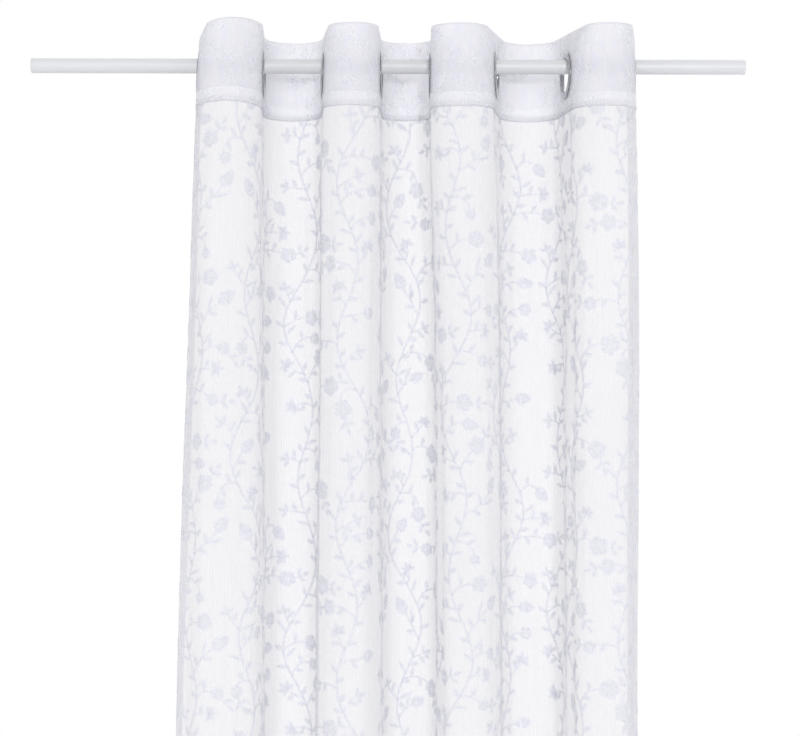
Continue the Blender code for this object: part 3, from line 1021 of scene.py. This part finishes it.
class Grower:
    # holds the shapes drawn so far and the spots they fill
    def __init__(self):
        self.random = np.random.default_rng(vineRepeat["seed"])
        self.shapes = []
        self.spots = np.zeros((0, 3))

    def fill(self, points, radius):
        points = np.reshape(points, (-1, 2))
        spots = np.column_stack((points, np.full(len(points), radius)))
        self.spots = np.concatenate((self.spots, spots))

    def draw(self, shape, *sizes):
        self.shapes.append((shape, sizes))

    def leaf(self, base, heading, side, kind):
        # drawn only where its middle and its tip clear everything but the stem it is on
        length, width, splay, curl, room = leafKinds[kind]
        heading, curl = heading + splay * side, curl * side
        reach = [base + share * length * ahead(heading + curl * share) for share in (0.6, 1.0)]
        if clearance(reach, self.spots) < room:
            return False
        self.draw(leafShape, base, heading, length, width, curl)
        self.fill(reach[0], 0.35 * width)
        self.fill(reach[1], 0.6)
        return True

    def branch(self, vine, n, kind):
        # the first try that clears what is there, or the one that comes nearest to it
        look, spans, best = vineRepeat, branchKinds[kind], None
        for attempt in range(look["tries"]):
            length, splay, bend, size = [self.random.uniform(*span) for span in spans]
            scatter = self.random.uniform(-look["scatter"], look["scatter"])
            t = (n + 0.5 + scatter) / look["branches"]
            side = (1 if (n + vine) % 2 else -1) * (1 if attempt % 3 else -1)
            base, onward = mainStem(vine, np.array((t, t + 0.004)))
            path, headings = pathFrom(base, headingOf(base, onward) - side * math.radians(splay),
                                      -side * math.radians(bend), length)
            reach = branchRoom[kind] * size
            centre = path[-1] + 0.85 * reach * ahead(headings[-1])
            room = min(clearance(centre, self.spots) - reach,
                       clearance(path[len(path) // 2:], self.spots))
            if best is None or room > best[0]:
                best = room, path, headings, centre, reach, size
            if room > look["goodRoom"]:
                break
        if best[0] < look["leastRoom"]:
            return None
        _, path, headings, centre, reach, size = best
        self.draw(stemShape, path, np.linspace(*look["taper"], len(path)) * look["branch"])
        self.fill(path[2:], 0.5 * look["branch"])
        self.fill(centre, reach)
        return path, headings, size

    def carried(self, kind, tip, last, size, turn):
        # the blossom, bud or spray of leaves at the end of a branch
        if kind in petals:
            self.draw(blossomShape, tip + 0.8 * size * ahead(last), last, size, petals[kind])
        elif kind == "bud":
            self.draw(budShape, tip - ahead(last), last, size, budWidth * size)
        else:
            for fan in sprigFans[turn % 2]:
                length = size * (1 - abs(fan) / sprigLeaf["goneAt"])
                self.draw(leafShape, tip, last + math.radians(fan), length,
                          sprigLeaf["width"] * size, sprigLeaf["curl"] * fan)

    def twig(self, tip, last, size):
        # goes on past a blossom with three leaves, in the first lean that is clear
        look = twigLook
        for lean in look["leans"]:
            start = tip + 1.6 * size * ahead(last) + 0.8 * size * (ahead(last + lean) - ahead(last))
            outward = ahead(last + look["outward"] * lean)
            end = start + look["length"] * outward
            if clearance([end, end + look["ahead"] * outward], self.spots) > look["room"]:
                share, least = look["bend"]
                path, headings = pathFrom(start, last + lean, share * lean + least, look["length"])
                self.draw(stemShape, path, np.full(len(path), look["width"] * vineRepeat["branch"]))
                for side in (-1, 0, 1):
                    self.leaf(path[2 if side else -1], headings[-1], side, "twig")
                break


def growVines():
    # stems first, then what the branches carry, then leaves wherever there is room for them
    look, grower = vineRepeat, Grower()
    stems = [mainStem(vine, np.linspace(0, 1, look["stemPoints"])) for vine in range(look["vines"])]
    for stem in stems:
        grower.draw(stemShape, stem, np.full(len(stem), look["mainStem"]))
        grower.fill(stem[:-1], 0.5 * look["mainStem"])
    grown = []
    for n in range(look["branches"]):
        for vine in range(look["vines"]):
            kind = branchOrder[(n + look["kindStep"] * vine) % len(branchOrder)]
            branch = grower.branch(vine, n, kind)
            if branch is not None:
                path, headings, size = branch
                grower.carried(kind, path[-1], headings[-1], size, n + vine)
                grown.append((kind, path, headings, size))
    for n, (kind, path, headings, size) in enumerate(grown):
        if kind == "bud":
            low = len(path) // 2
            for side in (1, -1):
                grower.leaf(path[low], headings[low], side, "bud")
        if kind in petals:
            grower.twig(path[-1], headings[-1], size)
        for k, share in enumerate(look["leavesAt"][len(path) > look["longBranch"]]):
            i = int(share * (len(path) - 1))
            way = 1 if (k + n) % 2 else -1
            grower.leaf(path[i], headings[i], way, "branch") \
                or grower.leaf(path[i], headings[i], -way, "branch")
    for stem in stems:
        for k, i in enumerate(range(look["firstLeaf"], len(stem) - 1, look["leafStep"])):
            grower.leaf(stem[i], headingOf(stem[i], stem[i + 1]), -1 if k % 2 else 1,
                        "stem" if k % 3 else "longStem")
    return grower.shapes


def vineArrays(shapes, fine):
    # the repeat copied over the whole cut, as cloth places in metres, faces and weave shares
    points, faces, shares, count = [], [], [], 0
    for draw, drawn in shapes:
        shape, triangles, share = draw(fine, *drawn)
        points.append(shape)
        faces.append(triangles + count)
        shares.append(share)
        count += len(shape)
    points, faces, shares = (np.concatenate(parts) for parts in (points, faces, shares))
    columns = math.ceil(cutWidth / mm / vineRepeat["width"]) + 2
    rows = math.ceil((top - bottom) / mm / vineRepeat["height"]) + 2
    i, j = [side.ravel() for side in np.meshgrid(np.arange(columns) - 1, np.arange(rows) - 1)]
    rise = (i * vineRepeat["drop"]) % vineRepeat["height"]
    shift = np.stack((i * vineRepeat["width"], j * vineRepeat["height"] + rise), 1)
    places = (points + shift[:, None]).reshape(-1, 2) * mm + (0.0, bottom)
    faces = (faces + (np.arange(len(shift)) * count)[:, None, None]).reshape(-1, 3)
    return places, faces, np.tile(shares, len(shift))


def vinePlaces(shapes, fine):
    # the vines' arrays, and which triangles lie on the heading and on each part of the panel
    places, faces, shares = vineArrays(shapes, fine)
    corner = places[faces]
    centre = corner.mean(1)
    edge = vineRepeat["edge"]
    inside = ((corner[:, :, 0] > edge) & (corner[:, :, 0] < cutWidth - edge)
              & (corner[:, :, 1] > bottom + edge) & (corner[:, :, 1] < top - edge)).all(1)
    clear = awayFromRings(centre, vineRepeat["ringGap"])
    below = inside & (centre[:, 1] < stitchLine)
    low = centre[:, 1] < panelLook["upperEnd"]
    left = centre[:, 0] < 0.5 * cutWidth
    chosen = {"heading": inside & ~below & clear, "upper": below & ~low, "lower": below & low,
              "left": below & left, "right": below & ~left}
    return (places, faces, shares), chosen


def addVines():
    # fine shapes where the photo looks closely and coarser ones below and on the back
    shapes = growVines()
    laid = {fine: vinePlaces(shapes, fine) for fine in (True, False)}
    raised = vineRepeat["raised"]
    onBand = 0.5 * bandLook["thickness"] + vineRepeat["raisedOnBand"]
    onPanel = vineMaterial("vineWeave", vineLook), "voile"
    onHeading = vineMaterial("headingVineWeave", headingVineLook), "heading_cloth"
    parts = (
        # name, where it lies, whether its shapes are fine, how far out of the cloth
        ("vinesUpper", "upper", True, raised),
        ("vinesLower", "lower", False, raised),
        ("vinesBackLeft", "left", False, -raised),
        ("vinesBackRight", "right", False, -raised),
        ("vinesHeading", "heading", True, onBand),
        ("vinesHeadingBack", "heading", True, -onBand),
    )
    pieces = []
    for name, part, fine, out in parts:
        (places, faces, shares), chosen = laid[fine]
        material, slot = onHeading if part == "heading" else onPanel
        used, local = np.unique(faces[chosen[part]], return_inverse=True)
        u, z = places[used].T
        triangles = local.reshape(-1, 3)[:, ::1 if out > 0 else -1]
        piece = meshPiece(name, onCloth(u, z, out), triangles, material, uv=places[used],
                          shares=shares[used])
        print(name, len(triangles), "triangles")
        pieces.append(finished(piece, slot))
    return pieces


# Sewing

sewing = {
    "length": 2.6 * mm,
    "pitch": 3.4 * mm,
    "half": 0.28 * mm,
    "shoulder": (0.7, 0.8),     # how far along the half length, and how thick it is there
    "sides": 6,
    "slant": 0.10,
    "wander": 0.12 * mm,
    "seed": 5,
    "fromEnd": 2 * mm,
    "aboveSeam": 3.0 * mm,      # the heading's lower row, above the stitch line
    "insideTurnIn": 1.5 * mm,
    "insideSideHem": 2.0 * mm,
    "insideBottomHem": 2.5 * mm,
    "ringGap": 30 * mm,
}


def stitchRun(u, z, heading, out):
    # small pointed rods lying on the cloth: three rings of points between two end points
    look = sewing
    turn = ringOf(look["sides"])
    shoulder, thinner = look["shoulder"]
    radius = look["half"] * np.array((thinner, 1.0, thinner))[:, None]
    along = 0.5 * look["length"] * np.array((-shoulder, 0.0, shoulder))[:, None] + 0 * turn
    rings = np.stack((along, radius * np.cos(turn), radius * np.sin(turn)), -1).reshape(-1, 3)
    tips = 0.5 * look["length"] * np.array(((-1.0, 0.0, 0.0), (1.0, 0.0, 0.0)))
    template = np.concatenate((rings, tips))
    here, count = np.arange(len(turn)), len(rings)
    faces = np.concatenate((gridFaces(3, len(turn), closed=True), fanFaces(count, here[::-1]),
                            fanFaces(count + 1, count - len(turn) + here)))
    c, w = np.cos(heading)[:, None], np.sin(heading)[:, None]
    alongU = (u[:, None] + template[:, 0] * c - template[:, 1] * w).ravel()
    alongZ = (z[:, None] + template[:, 0] * w + template[:, 1] * c).ravel()
    lifted = (template[:, 2] + np.reshape(out, (-1, 1))).ravel()
    faces = (faces + (np.arange(len(u)) * len(template))[:, None, None]).reshape(-1, 3)
    return onCloth(alongU, alongZ, lifted), faces


def addSewing():
    # rows of stitches that stray and slant a little; the heading's are on both of its faces
    look = sewing
    random = np.random.default_rng(look["seed"])
    material = threadMaterial()
    seam = stitchLine + look["aboveSeam"]
    edge = stitchLine + headingLook["turnIn"] - look["insideTurnIn"]
    hem = bottom + voileLook["bottomHem"] - look["insideBottomHem"]
    side = voileLook["sideHem"] - look["insideSideHem"]
    width = (look["fromEnd"], cutWidth - look["fromEnd"])
    drop = (bottom + look["fromEnd"], stitchLine)
    lines = (
        # name, way it runs, where, from and to, whether it is on the heading
        ("headingSewing", "across", seam, width, True),
        ("headingEdgeSewing", "across", edge, width, True),
        ("bottomHemSewing", "across", hem, width, False),
        ("leftHemSewing", "down", side, drop, False),
        ("rightHemSewing", "down", cutWidth - side, drop, False),
    )
    pieces = []
    for name, way, at, span, onBand in lines:
        run = np.arange(*span, look["pitch"])
        steady = np.full_like(run, at) + random.normal(0, look["wander"], len(run))
        heading = random.normal(0, look["slant"], len(run))
        heading += 0.0 if way == "across" else math.pi / 2
        places = np.stack((run, steady) if way == "across" else (steady, run), 1)
        out = np.zeros_like(run)
        if onBand:
            clear = awayFromRings(places, look["ringGap"])
            places, heading = np.tile(places[clear], (2, 1)), np.tile(heading[clear], 2)
            far = 0.5 * bandLook["thickness"]
            out = np.repeat((far, -far), len(places) // 2)
        points, faces = stitchRun(*places.T, heading, out)
        piece = meshPiece(name, points, faces, material)
        print(name, len(faces), "triangles")
        pieces.append(finished(piece, "heading_cloth" if onBand else "voile"))
    return pieces


addCamera()
addRoom()
print("camera, room and light are in place")
addRod()
rings = addEyelets()
print("the rod and its eyelets are turned")
band = addHeading()
panel = addPanel()
print("the heading and the voile hang in their folds")
vines = addVines()
seams = addSewing()
print("the vines are woven in and the hems are sewn")
